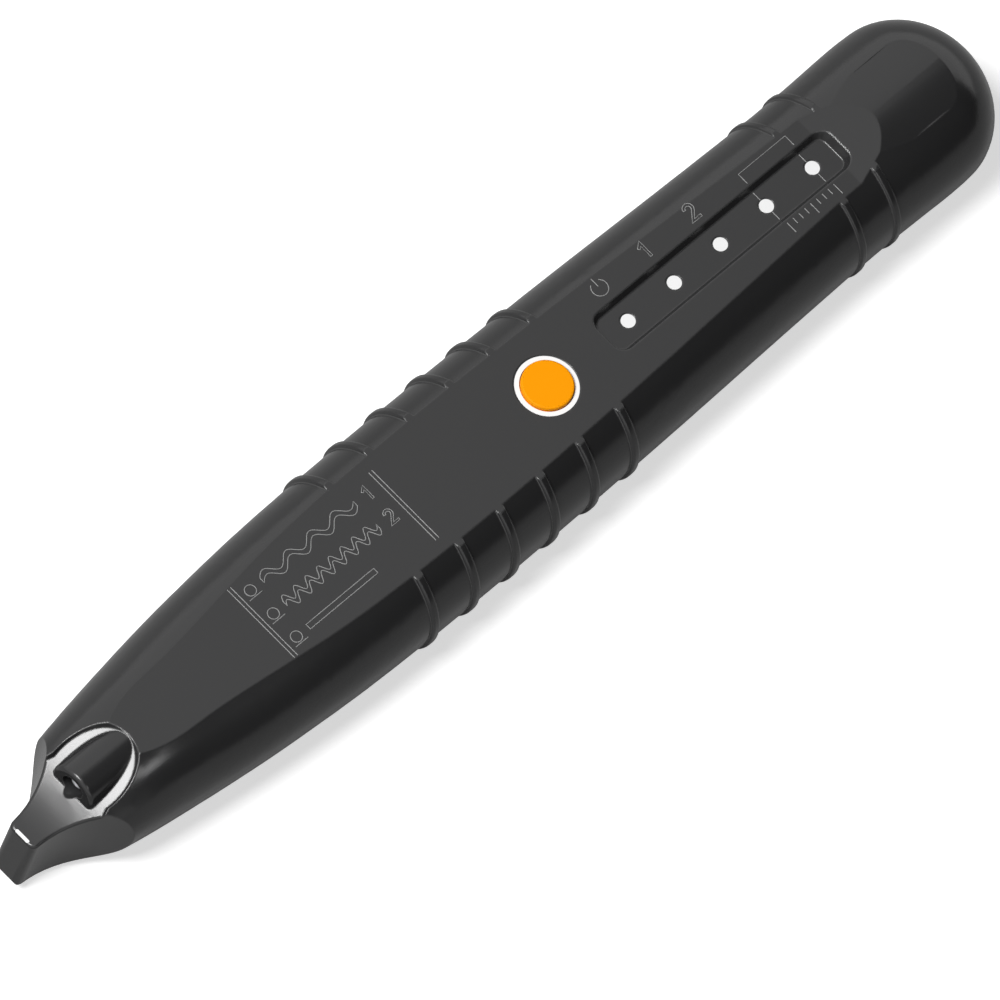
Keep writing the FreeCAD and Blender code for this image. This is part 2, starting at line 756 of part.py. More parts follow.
# ---------------------------------------------------------------- everything, by name
def build():
    body = outer_body()
    room = cavity()
    seat = -face_height + door_screw_head_height + door_screw_sink
    nodes = {
        "upper_housing": [upper_housing(body, room)],
        "lower_housing": [lower_housing(body, room)],
        "battery_cover": [battery_cover(body)],
        "button_bezel": [button_bezel()],
        "button_cap": [button_cap()],
        "switch_body": [switch_body()],
        "switch_plunger": [switch_plunger()],
        "circuit_board": [circuit_board()],
        "torch_led": [torch_led()],
        "torch_leads": torch_leads(),
        "sensor_antenna": [sensor_antenna()],
        "sensor_lead": [sensor_lead()],
        "negative_contact": [leaf_contact()],
        "positive_contact": [contact_plate(bay_end_x - contact_thickness)],
        "buzzer": [buzzer()],
    }
    nodes["housing_screws"] = [
        screw(screw_radius, screw_head_radius, screw_head_height, screw_seat_z, screw_top - screw_fit, x, y)
        for x, y in screw_places]
    nodes["cover_screws"] = [
        screw(door_screw_radius, door_screw_head_radius, door_screw_head_height, seat,
              seat + door_screw_length, x, 0.0) for x in door_screw_places]
    nodes["board_screws"] = [
        screw(board_screw_radius, board_screw_head_radius, board_screw_head_height, board_low_z,
              board_top_z + board_screw_grip - screw_fit, board_screw_x, y)
        for y in (-board_screw_y, board_screw_y)]
    for number, x in enumerate(led_places, 1):
        nodes[f"indicator_lens_{number}"] = [indicator_lens(x)]
        nodes[f"indicator_led_{number}"] = [on_board(x, 0.0, led_chip_size)]
    for name, x in zip(chip_names, chip_x):
        nodes[name] = [on_board(x, 0.0, chip_size)]
    nodes["resistors"] = [on_board(x, resistor_y, resistor_size) for x in resistor_x]
    nodes["capacitors"] = [on_board(x, capacitor_y, capacitor_size) for x in capacitor_x]
    first_cell = bay_start_x + contact_thickness + leaf_length
    nodes["battery_cell_front"] = [battery_cell(first_cell)]
    nodes["battery_cell_rear"] = [battery_cell(first_cell + cell_run)]
    return nodes


def place(shape):
    """Moves a piece into the part frame."""
    moved = shape.copy()
    moved.translate(Vector(-body_length / 2, 0, face_height))
    return moved


def main():
    os.makedirs(out, exist_ok=True)
    for name, solids in build().items():
        placed = [place(s) for s in solids]
        whole = placed[0] if len(placed) == 1 else Part.makeCompound(placed)
        if not whole.isValid() or len(whole.Solids) != len(solids):
            raise ValueError(f"{name} is not {len(solids)} sound solids")
        whole.exportStep(os.path.join(out, name + ".step"))
        print(name, len(whole.Solids), round(whole.Volume, 2))


main()
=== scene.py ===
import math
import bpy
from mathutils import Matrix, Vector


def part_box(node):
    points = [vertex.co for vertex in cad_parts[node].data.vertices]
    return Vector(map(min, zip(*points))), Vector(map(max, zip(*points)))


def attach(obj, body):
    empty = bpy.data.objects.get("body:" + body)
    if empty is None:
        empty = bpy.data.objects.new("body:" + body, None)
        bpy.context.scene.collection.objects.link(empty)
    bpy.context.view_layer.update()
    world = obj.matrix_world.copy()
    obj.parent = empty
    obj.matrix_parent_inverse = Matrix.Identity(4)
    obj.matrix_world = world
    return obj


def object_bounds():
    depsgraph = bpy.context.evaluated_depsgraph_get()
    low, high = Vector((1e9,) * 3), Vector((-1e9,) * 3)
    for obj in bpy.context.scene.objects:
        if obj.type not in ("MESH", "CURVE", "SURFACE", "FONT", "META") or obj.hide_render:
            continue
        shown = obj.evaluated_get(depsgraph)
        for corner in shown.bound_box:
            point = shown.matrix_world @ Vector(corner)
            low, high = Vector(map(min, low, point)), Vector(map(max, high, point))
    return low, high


bl_info = {
    "name": "Non Contact Voltage Tester",
    "version": (1, 0, 0),
    "blender": (4, 5, 0),
    "location": "View3D > Sidebar > Tester",
    "description": "Finishes, printed marks, studio and camera for a pen-shaped non contact voltage tester",
    "category": "Object",
}

import bpy
from bpy.props import FloatProperty, FloatVectorProperty, IntProperty, PointerProperty
from mathutils import Matrix, Vector

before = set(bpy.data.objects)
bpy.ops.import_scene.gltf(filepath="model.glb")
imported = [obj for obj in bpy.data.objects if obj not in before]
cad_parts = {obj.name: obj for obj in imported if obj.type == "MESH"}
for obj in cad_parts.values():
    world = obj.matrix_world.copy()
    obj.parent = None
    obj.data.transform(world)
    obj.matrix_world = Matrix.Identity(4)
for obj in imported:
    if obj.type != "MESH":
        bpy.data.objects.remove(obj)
CAD_LOW, CAD_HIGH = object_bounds()

MM = 0.001
LENS_COUNT = sum(1 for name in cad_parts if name.startswith("indicator_lens_"))

# Grain and edges that every moulded and metal finish shares
FINE_GRAIN = 2600.0
METAL_GRAIN = 5200.0
GRAIN_DETAIL = 3.0
GRAIN_RELIEF = 0.05 * MM
MOTTLE_SCALE = 55.0
MOTTLE_DETAIL = 4.0
ROUGHNESS_SPREAD = 0.08
CORNER_SAMPLES = 8
CORNER_STARTS = 0.99  # cosine between the flat and the rounded normal where a corner begins
CORNER_FULL = 0.86  # and where it counts as fully rounded
EDGE_HIGHLIGHT_LEVEL = 0.35  # the shade that a dark corner is lightened towards, a painted highlight on the corners
# how far a corner's colour moves towards that shade, which paints a highlight on it
EDGE_HIGHLIGHT_SHARE = 0.35

# Shapes of the printed marks and of the painted highlight on the tip
ARC_POINTS = 25
PRESS_POINTS = 24
BOWL_POINTS = 14
TIP_HIGHLIGHT_END_STEPS = 8
POINTS_PER_WAVE = 12
LEGEND_ROWS = ((1, 4), (2, 8), (0, 0))  # the number printed and the waves drawn, row by row
ONE_LINE = [(-0.24, 0.26), (0.06, 0.5), (0.06, -0.5)]  # centre line of a 1 that is one unit high
TWO_FOOT = [(-0.3, -0.5), (0.34, -0.5)]
TWO_BOWL_MIDDLE = (0, 0.24, 0)
TWO_BOWL_RADIUS = 0.27
TWO_BOWL_TURN = (math.radians(170), math.radians(-40))
STROKE_HALF = 0.085
LONGEST_MITRE = 2.0

# Studio pieces: direction from the object, distance in metres and size in metres
KEY_BOX = (Vector((-0.46, 0.19, 0.86)), 1.0, 0.4)
GLINT_BOX = (Vector((-0.05, -0.75, 0.67)), 0.42, 0.07)
BLACK_FLAG = (Vector((0.42, -0.62, 0.62)), 0.55, 0.46)
FLOOR_HALF = 3.0
FLOOR_LIT = 0.8  # shade of the floor's paper where the camera looks at it
FLOOR_UNSEEN = 0.2  # and for the light that it throws back on the object
FLOOR_GLOW = 0.62
SENSOR_WIDTH = 36.0
CAMERA_SHIFT = Vector((-3.66 * MM, -4.81 * MM))


# ---------------------------------------------------------------- places read from the frame
def node_box(name):
    """Lowest and highest corner of a CAD node."""
    low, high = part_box(name)
    return Vector(low), Vector(high)


def middle(name):
    low, high = node_box(name)
    return (low + high) / 2


def face_level():
    """Height of the flat indicator face: the ring around the button stands a hair above it."""
    return node_box("button_bezel")[1].z - 0.05 * MM


def lens_places():
    return [middle(name) for name in numbered("indicator_lens")]


def numbered(name):
    """The names of a row of pieces, one to each indicator."""
    return [f"{name}_{i}" for i in range(1, LENS_COUNT + 1)]


# ---------------------------------------------------------------- settings
def colour(name, description, default):
    return FloatVectorProperty(name=name, description=description, subtype="COLOR", size=3, min=0, max=1,
                               default=default)


def length(name, description, millimetres):
    return FloatProperty(name=name, description=description, subtype="DISTANCE", unit="LENGTH", min=0,
                         default=millimetres * MM)


def share(name, description, default, high=1.0):
    return FloatProperty(name=name, description=description, min=0, max=high, default=default)


def angle(name, description, degrees):
    return FloatProperty(name=name, description=description, subtype="ANGLE", default=math.radians(degrees))


def watts(name, description, default):
    return FloatProperty(name=name, description=description, min=0, default=default)


class TesterFinish(bpy.types.PropertyGroup):
    housing_colour: colour("Housing", "Colour of the moulded housing", (0.0215, 0.0215, 0.022))
    housing_roughness: share("Housing roughness", "How matt the housing is", 0.22)
    grain_depth: share("Grain", "Strength of the housing's moulded grain", 0.05)
    corner_radius: length("Corner", "Radius that softens moulded corners", 0.3)
    # painted highlight: how much the housing's corners are lightened, standing in for the glint on its edges
    painted_edge_highlight: share("Highlit edges", "How worn the housing's edges are", 0.3)
    button_colour: colour("Button", "Colour of the push button", (1.0, 0.345, 0.0))
    bezel_colour: colour("Ring", "Colour of the ring around the button", (0.98, 0.98, 0.98))
    lens_colour: colour("Indicator", "Colour of the indicator lenses", (0.93, 0.93, 0.93))
    mark_colour: colour("Marks", "Colour of the printed marks", (0.3, 0.3, 0.3))
    resin_colour: colour("LED resin", "Colour of the LEDs' clear epoxy", (0.8, 0.82, 0.85))
    component_colour: colour("Components", "Colour of chips, switch and buzzer", (0.02, 0.02, 0.021))
    ceramic_colour: colour("Ceramic", "Colour of the capacitors", (0.45, 0.3, 0.18))
    laminate_colour: colour("Board", "Colour of the circuit board", (0.02, 0.16, 0.05))
    steel_colour: colour("Steel", "Colour of screws, leads and contacts", (0.6, 0.6, 0.6))
    copper_colour: colour("Copper", "Colour of the sensing foil and its lead", (0.75, 0.4, 0.2))
    cell_colour: colour("Cells", "Colour of the battery cells", (0.35, 0.36, 0.38))


class TesterMarks(bpy.types.PropertyGroup):
    line_width: length("Line", "Width of the printed lines", 0.11)
    digit_height: length("Window digits", "Height of the numbers beside the window", 2.0)
    legend_digit_height: length("Legend digits", "Height of the numbers in the legend", 1.7)
    side_row: length("Side row", "Distance of the marks beside the window from its middle", 4.9)
    power_radius: length("Power ring", "Radius of the power mark's ring", 1.05)
    power_stem_start: length("Power stem start", "Where the power mark's stem begins above its middle", 0.25)
    power_stem_end: length("Power stem end", "Where the power mark's stem ends above its middle", 1.45)
    bracket_inner: length("Bracket ends", "Distance of the bracket's ends from the window's middle", 3.25)
    bracket_outer: length("Bracket back", "Distance of the bracket's back from the window's middle", 4.75)
    tick_start: length("Tick start", "Where the lenses' ticks begin beside a lens", 0.95)
    tick_end: length("Tick end", "Where the lenses' ticks end beside a lens", 2.2)
    scale_steps: IntProperty(name="Scale steps", description="Steps of the reading scale", default=8, min=4)
    scale_long: length("Long line", "Length of every fourth line of the scale", 1.5)
    scale_short: length("Short line", "Length of the scale's other lines", 0.8)
    row_pitch: length("Row pitch", "Distance between the legend's rows", 3.75)
    legend_front: length("Legend front", "Distance of the legend's front rule from the button's centre", 46.3)
    legend_rear: length("Legend rear", "Distance of the legend's rear rule from the button's centre", 23.5)
    rule_reach: length("Rule", "Half the length of the legend's rules", 5.5)
    rule_gap: length("Rule gap", "Distance between the two lines of a rule", 0.5)
    press_radius: length("Press ring", "Radius of a press mark's ring", 0.7)
    press_bar: length("Press bar", "Half the length of the bar under a press mark", 1.0)
    press_drop: length("Press drop", "Distance of that bar below the ring's middle", 0.9)
    wave_height: length("Wave", "Height of a level mark's waves", 0.62)
    wave_band: length("Band", "Half the width of a level mark's band", 0.36)
    # painted highlight: a white strip on top of the tip that stands in for the glint on its front edge
    tip_highlight_half: length("Dash", "Half the length of the painted highlight on the tip", 1.05)
    tip_highlight_start: length("Dash start", "Distance of the painted highlight behind the tip's front", 0.62)
    tip_highlight_width: length("Dash width", "Width of the painted highlight on the tip", 0.43)
    tip_height: length("Tip", "Height of the tip's upper face", 11.37)


class TesterStudio(bpy.types.PropertyGroup):
    azimuth: angle("Azimuth", "Camera direction about the object", -65.19)
    elevation: angle("Elevation", "Camera height above the horizon", 62.5)
    roll: angle("Roll", "Camera roll about its view line", 22.7)
    frame_width: length("Frame", "Width of the view at the object", 113.64)
    lens: FloatProperty(name="Lens", description="Camera focal length in millimetres", default=1000, min=50)
    key_power: watts("Key", "Power of the key softbox in watts", 11.2)
    glint_power: watts("Glint", "Power of the small shoulder softbox in watts", 0.09)
    ambient: share("Ambient", "Level of the room's light", 0.05, 2.0)
    floor_gloss: share("Floor gloss", "How strongly glossy surfaces see the white floor", 0.2)


# ---------------------------------------------------------------- node helpers
def socket(group, name, kind, into, default=None):
    made = group.interface.new_socket(name=name, in_out="INPUT" if into else "OUTPUT", socket_type=kind)
    if default is not None:
        made.default_value = default
    return made


def math_node(nodes, links, operation, first, second):
    node = nodes.new("ShaderNodeMath")
    node.operation = operation
    for slot, value in enumerate((first, second)):
        if isinstance(value, (int, float)):
            node.inputs[slot].default_value = value
        else:
            links.new(value, node.inputs[slot])
    return node.outputs[0]


def backdrop_rays(nodes, links, gloss):
    """1 for camera and transmission rays, the given share for glossy rays and 0 for the rest."""
    path = nodes.new("ShaderNodeLightPath")
    mirrored = math_node(nodes, links, "MULTIPLY", path.outputs["Is Glossy Ray"], gloss)
    clear = math_node(nodes, links, "MAXIMUM", mirrored, path.outputs["Is Transmission Ray"])
    return math_node(nodes, links, "MAXIMUM", clear, path.outputs["Is Camera Ray"])


def grain_group():
    """Fine moulded grain and a broad, faint mottle. Object coordinates keep it at real scale."""
    group = bpy.data.node_groups.new("Moulded Grain", "ShaderNodeTree")
    socket(group, "Scale", "NodeSocketFloat", True, FINE_GRAIN)
    socket(group, "Height", "NodeSocketFloat", False)
    socket(group, "Mottle", "NodeSocketFloat", False)
    nodes, links = group.nodes, group.links
    start = nodes.new("NodeGroupInput")
    end = nodes.new("NodeGroupOutput")
    place = nodes.new("ShaderNodeTexCoord")
    fine = nodes.new("ShaderNodeTexNoise")
    fine.inputs["Detail"].default_value = GRAIN_DETAIL
    broad = nodes.new("ShaderNodeTexNoise")
    broad.inputs["Scale"].default_value = MOTTLE_SCALE
    broad.inputs["Detail"].default_value = MOTTLE_DETAIL
    links.new(place.outputs["Object"], fine.inputs["Vector"])
    links.new(start.outputs["Scale"], fine.inputs["Scale"])
    links.new(place.outputs["Object"], broad.inputs["Vector"])
    links.new(fine.outputs["Fac"], end.inputs["Height"])
    links.new(broad.outputs["Fac"], end.inputs["Mottle"])
    return group


def corner_group():
    """Softened moulded corners: a rounded normal, and a mask of where the corners are."""
    group = bpy.data.node_groups.new("Soft Corner", "ShaderNodeTree")
    socket(group, "Radius", "NodeSocketFloat", True, 0.3 * MM)
    socket(group, "Normal", "NodeSocketVector", False)
    socket(group, "Edge", "NodeSocketFloat", False)
    nodes, links = group.nodes, group.links
    start = nodes.new("NodeGroupInput")
    end = nodes.new("NodeGroupOutput")
    bevel = nodes.new("ShaderNodeBevel")
    bevel.samples = CORNER_SAMPLES
    links.new(start.outputs["Radius"], bevel.inputs["Radius"])
    geometry = nodes.new("ShaderNodeNewGeometry")
    dot = nodes.new("ShaderNodeVectorMath")
    dot.operation = "DOT_PRODUCT"
    links.new(bevel.outputs["Normal"], dot.inputs[0])
    links.new(geometry.outputs["Normal"], dot.inputs[1])
    ramp = nodes.new("ShaderNodeMapRange")
    ramp.inputs["From Min"].default_value = CORNER_STARTS
    ramp.inputs["From Max"].default_value = CORNER_FULL
    links.new(dot.outputs["Value"], ramp.inputs["Value"])
    links.new(bevel.outputs["Normal"], end.inputs["Normal"])
    links.new(ramp.outputs["Result"], end.inputs["Edge"])
    return group


def group_node(nodes, name, build):
    """A node that holds a shared group, which is built the first time it is asked for."""
    node = nodes.new("ShaderNodeGroup")
    node.node_tree = bpy.data.node_groups.get(name) or build()
    return node


def plastic(name, tint, roughness, grain, corner, edge_highlight=0.0, grain_scale=FINE_GRAIN, mottle=0.06, specular=0.5):
    """Moulded plastic with grain, a faint mottle, softened corners and, where asked, corners painted lighter as a
    highlight.
    """
    material = bpy.data.materials.new(name)
    material.use_nodes = True
    nodes, links = material.node_tree.nodes, material.node_tree.links
    shader = nodes["Principled BSDF"]
    shader.inputs["Specular IOR Level"].default_value = specular
    grains = group_node(nodes, "Moulded Grain", grain_group)
    grains.inputs["Scale"].default_value = grain_scale
    corners = group_node(nodes, "Soft Corner", corner_group)
    corners.inputs["Radius"].default_value = corner

    shade = nodes.new("ShaderNodeMix")
    shade.data_type = "RGBA"
    shade.inputs["A"].default_value = (*[c * (1 - mottle) for c in tint], 1)
    shade.inputs["B"].default_value = (*[min(1.0, c * (1 + mottle)) for c in tint], 1)
    links.new(grains.outputs["Mottle"], shade.inputs["Factor"])
    # painted highlight: the corner mask mixes a lighter colour into the corners
    highlit = nodes.new("ShaderNodeMix")
    highlit.data_type = "RGBA"
    highlit_tint = [c + max(0.0, EDGE_HIGHLIGHT_LEVEL - c) * EDGE_HIGHLIGHT_SHARE for c in tint]
    highlit.inputs["B"].default_value = (*highlit_tint, 1)
    links.new(shade.outputs["Result"], highlit.inputs["A"])
    links.new(math_node(nodes, links, "MULTIPLY", corners.outputs["Edge"], edge_highlight), highlit.inputs["Factor"])
    links.new(highlit.outputs["Result"], shader.inputs["Base Color"])

    spread = math_node(nodes, links, "MULTIPLY", grains.outputs["Mottle"], ROUGHNESS_SPREAD)
    rough = math_node(nodes, links, "ADD", spread, roughness - ROUGHNESS_SPREAD / 2)
    links.new(rough, shader.inputs["Roughness"])

    bump = nodes.new("ShaderNodeBump")
    bump.inputs["Strength"].default_value = grain
    bump.inputs["Distance"].default_value = GRAIN_RELIEF
    links.new(grains.outputs["Height"], bump.inputs["Height"])
    links.new(corners.outputs["Normal"], bump.inputs["Normal"])
    links.new(bump.outputs["Normal"], shader.inputs["Normal"])
    return material


def metal(name, tint, roughness):
    """Plated or bare metal with a fine, uneven grain."""
    material = plastic(name, tint, roughness, 0.04, 0.05 * MM, grain_scale=METAL_GRAIN, mottle=0.12)
    material.node_tree.nodes["Principled BSDF"].inputs["Metallic"].default_value = 1.0
    return material


def clear_resin(name, tint):
    """The LEDs' clear epoxy, shown cloudy enough to catch light."""
    material = plastic(name, tint, 0.12, 0.0, 0.05 * MM, mottle=0.02)
    material.node_tree.nodes["Principled BSDF"].inputs["Coat Weight"].default_value = 0.6
    return material


def paint(node_names, material):
    for name in node_names:
        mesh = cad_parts[name].data
        for i in range(len(mesh.materials)):
            mesh.materials[i] = material
        if not mesh.materials:
            mesh.materials.append(material)


# ---------------------------------------------------------------- line work
def arc_points(centre, radius, first, last, count):
    turn = [first + (last - first) * i / (count - 1) for i in range(count)]
    return [(centre[0] + radius * math.cos(a), centre[1] + radius * math.sin(a), centre[2]) for a in turn]


def band(points, half):
    """Closed outline at one distance from both sides of an open line; corners are mitred."""
    sides = []
    for i, here in enumerate(points):
        first = max(i - 1, 0)
        runs = [Vector(b) - Vector(a) for a, b in zip(points[first:i + 1], points[first + 1:i + 2])]
        normals = [Vector((-run.y, run.x)).normalized() for run in runs]
        outward = sum(normals, Vector((0, 0))).normalized()
        reach = min(half / outward.dot(normals[0]), half * LONGEST_MITRE)
        sides.append((Vector(here) + outward * reach, Vector(here) - outward * reach))
    return [tuple(left) for left, _ in sides] + [tuple(right) for _, right in reversed(sides)]


def line_curve(name, runs, width):
    """Thin raised lines through each run of points; a run given as (points, True) closes on itself."""
    data = bpy.data.curves.new(name, "CURVE")
    data.dimensions = "3D"
    data.bevel_depth = width / 2
    data.bevel_resolution = 1
    data.use_fill_caps = True
    for points, closed in runs:
        spline = data.splines.new("POLY")
        spline.points.add(len(points) - 1)
        for slot, p in zip(spline.points, points):
            slot.co = (p[0], p[1], p[2], 1)
        spline.use_cyclic_u = closed
    thing = bpy.data.objects.new(name, data)
    bpy.context.scene.collection.objects.link(thing)
    return thing


def digit_curve(name, number, height, centre, width):
    """The number 1 or 2, outlined, that reads towards the rear."""
    line = ONE_LINE
    if number == 2:
        bowl = arc_points(TWO_BOWL_MIDDLE, TWO_BOWL_RADIUS, *TWO_BOWL_TURN, BOWL_POINTS)
        line = [(x, y) for x, y, _ in bowl] + TWO_FOOT
    points = [(centre[0] + x * height, centre[1] + y * height, centre[2]) for x, y in band(line, STROKE_HALF)]
    return line_curve(name, [(points, True)], width)


def keep(thing, material):
    """Turns a curve into a mesh piece that rides on the housing."""
    bpy.context.view_layer.update()
    graph = bpy.context.evaluated_depsgraph_get()
    mesh = bpy.data.meshes.new_from_object(thing.evaluated_get(graph))
    mesh.transform(thing.matrix_world)
    name = thing.name
    thing.name = name + "_source"
    bpy.data.objects.remove(thing)
    mesh.materials.clear()
    for polygon in mesh.polygons:
        polygon.use_smooth = True
    mount_mark(name, mesh, material)


def mount_mark(name, mesh, material):
    piece = bpy.data.objects.new(name, mesh)
    bpy.context.scene.collection.objects.link(piece)
    mesh.materials.append(material)
    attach(piece, "housing")


MADE = {}  # the ink, once made, for the operators that share it


def marking_ink():
    if "ink" not in MADE:
        tint = bpy.context.scene.tester_finish.mark_colour
        MADE["ink"] = plastic("marking_ink", tint, 0.5, 0.0, 0.03 * MM, mottle=0.05)
    return MADE["ink"]


# ---------------------------------------------------------------- operators: finishes
class TESTER_OT_housing(bpy.types.Operator):
    """Give both housing shells and the battery cover their moulded black finish, with a painted highlight on their
    corners
    """

    bl_idname = "tester.housing"
    bl_label = "Finish the housing"

    def execute(self, context):
        look = context.scene.tester_finish
        finish = plastic("housing_plastic", look.housing_colour, look.housing_roughness, look.grain_depth,
                         look.corner_radius, edge_highlight=look.painted_edge_highlight)
        paint(("upper_housing", "lower_housing", "battery_cover"), finish)
        return {"FINISHED"}


class TESTER_OT_button(bpy.types.Operator):
    """Finish the push button and the ring around it"""

    bl_idname = "tester.button"
    bl_label = "Finish the button"

    def execute(self, context):
        look = context.scene.tester_finish
        cap = plastic("button_plastic", look.button_colour, 0.55, 0.04, 0.1 * MM, mottle=0.02, specular=0.1)
        ring = plastic("bezel_plastic", look.bezel_colour, 0.4, 0.02, 0.08 * MM, mottle=0.01)
        paint(("button_cap",), cap)
        paint(("button_bezel",), ring)
        return {"FINISHED"}


class TESTER_OT_indicators(bpy.types.Operator):
    """Finish the indicator lenses, their LEDs and the torch LED"""

    bl_idname = "tester.indicators"
    bl_label = "Finish the indicators"

    def execute(self, context):
        look = context.scene.tester_finish
        lens = plastic("lens_plastic", look.lens_colour, 0.35, 0.0, 0.05 * MM, mottle=0.02)
        paint(numbered("indicator_lens"), lens)
        paint(numbered("indicator_led") + ["torch_led"], clear_resin("led_resin", look.resin_colour))
        return {"FINISHED"}


class TESTER_OT_electronics(bpy.types.Operator):
    """Finish the circuit board and the components on it"""

    bl_idname = "tester.electronics"
    bl_label = "Finish the electronics"

    def execute(self, context):
        look = context.scene.tester_finish
        black = plastic("component_black", look.component_colour, 0.5, 0.2, 0.1 * MM)
        ceramic = plastic("ceramic", look.ceramic_colour, 0.6, 0.1, 0.1 * MM)
        laminate = plastic("board_laminate", look.laminate_colour, 0.35, 0.15, 0.05 * MM)
        paint(("switch_body", "switch_plunger", "buzzer", "detector_chip", "driver_chip", "resistors"), black)
        paint(("capacitors",), ceramic)
        paint(("circuit_board",), laminate)
        return {"FINISHED"}


class TESTER_OT_metalwork(bpy.types.Operator):
    """Finish the screws, leads, contacts, sensing foil and battery cells"""

    bl_idname = "tester.metalwork"
    bl_label = "Finish the metal pieces"

    def execute(self, context):
        look = context.scene.tester_finish
        paint(("torch_leads", "negative_contact", "positive_contact", "housing_screws", "cover_screws",
               "board_screws"), metal("plated_steel", look.steel_colour, 0.3))
        paint(("sensor_antenna", "sensor_lead"), metal("copper_foil", look.copper_colour, 0.35))
        paint(("battery_cell_front", "battery_cell_rear"), metal("cell_can", look.cell_colour, 0.4))
        return {"FINISHED"}


# ---------------------------------------------------------------- operators: printed marks and the tip's painted highlight
class TESTER_OT_window_numbers(bpy.types.Operator):
    """Print the numbers 1 and 2 and the power mark beside the window"""

    bl_idname = "tester.window_numbers"
    bl_label = "Print the window's numbers"

    digit_inset = 0.15 * MM
    ring_opening = (math.radians(125), math.radians(415))

    def execute(self, context):
        sizes = context.scene.tester_marks
        ink, level, side = marking_ink(), face_level(), sizes.side_row
        lenses = lens_places()
        for number in (1, 2):
            centre = (lenses[number].x - self.digit_inset, side, level)
            name = f"window_digit_{number}"
            keep(digit_curve(name, number, sizes.digit_height, centre, sizes.line_width), ink)

        x = lenses[0].x
        ring = arc_points((x, side, level), sizes.power_radius, *self.ring_opening, ARC_POINTS)
        stem = [(x, side + sizes.power_stem_start, level), (x, side + sizes.power_stem_end, level)]
        keep(line_curve("power_mark", [(ring, False), (stem, False)], sizes.line_width), ink)
        return {"FINISHED"}


class TESTER_OT_reading_marks(bpy.types.Operator):
    """Print the bracket, the ticks and the scale at the last two lenses"""

    bl_idname = "tester.reading_marks"
    bl_label = "Print the reading marks"

    front_overhang = 0.1 * MM
    long_line_every = 4

    def execute(self, context):
        sizes = context.scene.tester_marks
        ink, level, width = marking_ink(), face_level(), sizes.line_width
        last_two = lens_places()[-2:]
        front, rear = last_two[0].x - self.front_overhang, last_two[1].x
        inner, outer = sizes.bracket_inner, sizes.bracket_outer

        bracket = [(front, inner, level), (front, outer, level), (rear, outer, level), (rear, inner, level)]
        keep(line_curve("reading_bracket", [(bracket, False)], width), ink)

        window_floor = node_box("indicator_lens_1")[1].z - 0.05 * MM
        ticks = []
        for place in last_two:
            for sign in (-1, 1):
                ends = [(place.x, sign * reach, window_floor) for reach in (sizes.tick_start, sizes.tick_end)]
                ticks.append((ends, False))
        keep(line_curve("window_ticks", ticks, width), ink)

        lines = []
        for step in range(sizes.scale_steps + 1):
            x = front + (rear - front) * step / sizes.scale_steps
            reach = sizes.scale_short if step % self.long_line_every else sizes.scale_long
            lines.append(([(x, -inner, level), (x, -inner - reach, level)], False))
        keep(line_curve("reading_scale", lines, width), ink)
        return {"FINISHED"}


class TESTER_OT_legend(bpy.types.Operator):
    """Print three rows between two double rules: a press mark, a level mark and a number"""

    bl_idname = "tester.legend"
    bl_label = "Print the legend"

    press_inset = 2.0 * MM
    level_gap = 1.9 * MM
    level_end = 3.9 * MM
    flat_end = 8.0 * MM
    digit_inset = 1.9 * MM

    def execute(self, context):
        sizes = context.scene.tester_marks
        self.ink, self.level, self.width = marking_ink(), face_level(), sizes.line_width
        button_x = middle("button_cap").x
        front, rear = button_x - sizes.legend_front, button_x - sizes.legend_rear
        places = (front, front + sizes.rule_gap, rear, rear + sizes.rule_gap)
        rules = [([(x, -sizes.rule_reach, self.level), (x, sizes.rule_reach, self.level)], False) for x in places]
        keep(line_curve("legend_rules", rules, self.width), self.ink)

        for row, (number, waves) in enumerate(LEGEND_ROWS, start=1):
            y = (2 - row) * sizes.row_pitch
            start = front + self.press_inset
            self.press_mark(sizes, row, start, y)
            end = rear - (self.level_end if number else self.flat_end)
            self.level_mark(sizes, row, start + self.level_gap, end, y, waves)
            if number:
                centre = (rear - self.digit_inset, y, self.level)
                name = f"legend_digit_{number}"
                keep(digit_curve(name, number, sizes.legend_digit_height, centre, self.width), self.ink)
        return {"FINISHED"}

    def press_mark(self, sizes, row, x, y):
        """A ring over a bar."""
        last = 2 * math.pi * (PRESS_POINTS - 1) / PRESS_POINTS
        ring = arc_points((x, y, self.level), sizes.press_radius, 0, last, PRESS_POINTS)
        low = y - sizes.press_drop
        bar = [(x - sizes.press_bar, low, self.level), (x + sizes.press_bar, low, self.level)]
        keep(line_curve(f"press_mark_{row}", [(ring, True), (bar, False)], self.width), self.ink)

    def level_mark(self, sizes, row, start, end, y, waves):
        """A band that swings up and down once for each wave, or lies flat."""
        steps = POINTS_PER_WAVE * max(waves, 1)
        outline = []
        for side in (1, -1):
            edge = []
            for i in range(steps + 1):
                swing = sizes.wave_height * math.sin(2 * math.pi * waves * i / steps)
                edge.append((start + (end - start) * i / steps, y + swing + side * sizes.wave_band, self.level))
            outline += edge[::side]
        keep(line_curve(f"level_mark_{row}", [(outline, True)], self.width), self.ink)


